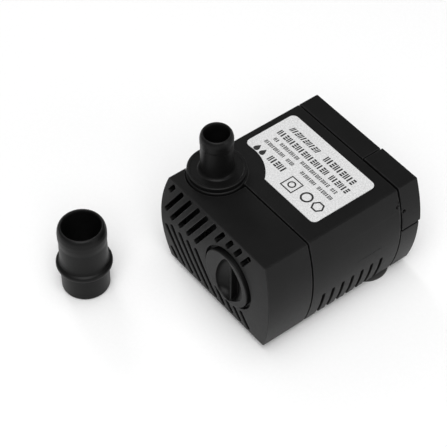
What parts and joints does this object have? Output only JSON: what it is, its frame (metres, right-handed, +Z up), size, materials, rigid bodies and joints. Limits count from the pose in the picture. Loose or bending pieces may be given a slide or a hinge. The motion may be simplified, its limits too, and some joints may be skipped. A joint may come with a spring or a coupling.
{
  "type": "fountain submersible pump",
  "caption": "Small black submersible fountain pump with slotted strainer cover, flow knob, upright outlet nozzle, suction cups and a loose hose adapter.",
  "frame": {"origin": "centre of the motor housing's underside, between the suction cups", "axes": "+Z up along the outlet nozzle, -Y towards the strainer cover and knob, +X to the right seen from the front"},
  "size_m": [0.0647, 0.0912, 0.0527],
  "materials": {
    "case_plastic": "satin black ABS with a fine moulded texture",
    "knob_plastic": "satin black ABS",
    "label_silver": "satin silver polyester label",
    "cup_rubber": "soft black rubber",
    "seal_rubber": "dark rubber",
    "ceramic": "polished white ceramic",
    "ferrite": "matt grey-black ferrite",
    "wheel_plastic": "off-white moulded acetal",
    "nylon": "natural nylon",
    "resin": "poured black epoxy, glossy",
    "lamination_steel": "stacked electrical steel sheets",
    "copper_wire": "enamelled copper wire"
  },
  "bodies": {
    "housing": {"motor_housing": "case_plastic", "chamber_lid": "case_plastic", "chamber_seal": "seal_rubber", "rear_cover": "case_plastic", "cable_block": "case_plastic", "cable_gland": "cup_rubber", "label_plate": "label_silver", "stator_core": "lamination_steel", "coil_bobbin_upper": "nylon", "coil_bobbin_lower": "nylon", "coil_winding_upper": "copper_wire", "coil_winding_lower": "copper_wire", "potting_resin": "resin", "rotor_shaft": "ceramic", "front_shaft_socket": "seal_rubber", "rear_shaft_socket": "seal_rubber", "suction_cup_rear_right": "cup_rubber", "suction_cup_rear_left": "cup_rubber", "suction_cup_front_right": "cup_rubber", "suction_cup_front_left": "cup_rubber"},
    "strainer": {"front_cover": "case_plastic"},
    "flow_control": {"flow_knob": "knob_plastic", "flow_shutter": "case_plastic"},
    "rotor": {"rotor_magnet": "ferrite", "impeller": "wheel_plastic"},
    "outlet": {"outlet_nozzle": "case_plastic", "nozzle_seal": "seal_rubber"},
    "adapter": {"hose_adapter": "case_plastic"}
  },
  "joints": [
    {"name": "rotor_spin", "type": "hinge", "parent": "housing", "child": "rotor", "pos_m": [-0.006, 0, 0.017], "axis": [0, 1, 0], "continuous": true},
    {"name": "cover_pull", "type": "slide", "parent": "housing", "child": "strainer", "axis": [0, -1, 0], "range_m": [0, 0.016]},
    {"name": "flow_turn", "type": "hinge", "parent": "strainer", "child": "flow_control", "pos_m": [0.0068, -0.0275, 0.017], "axis": [0, 1, 0], "range_deg": [0, 48]},
    {"name": "nozzle_pull", "type": "slide", "parent": "housing", "child": "outlet", "axis": [0, 0, 1], "range_m": [0, 0.01]},
    {"name": "adapter_lift", "type": "slide", "parent": "housing", "child": "adapter", "axis": [0, 0, 1], "range_m": [0, 0.03]}
  ]
}
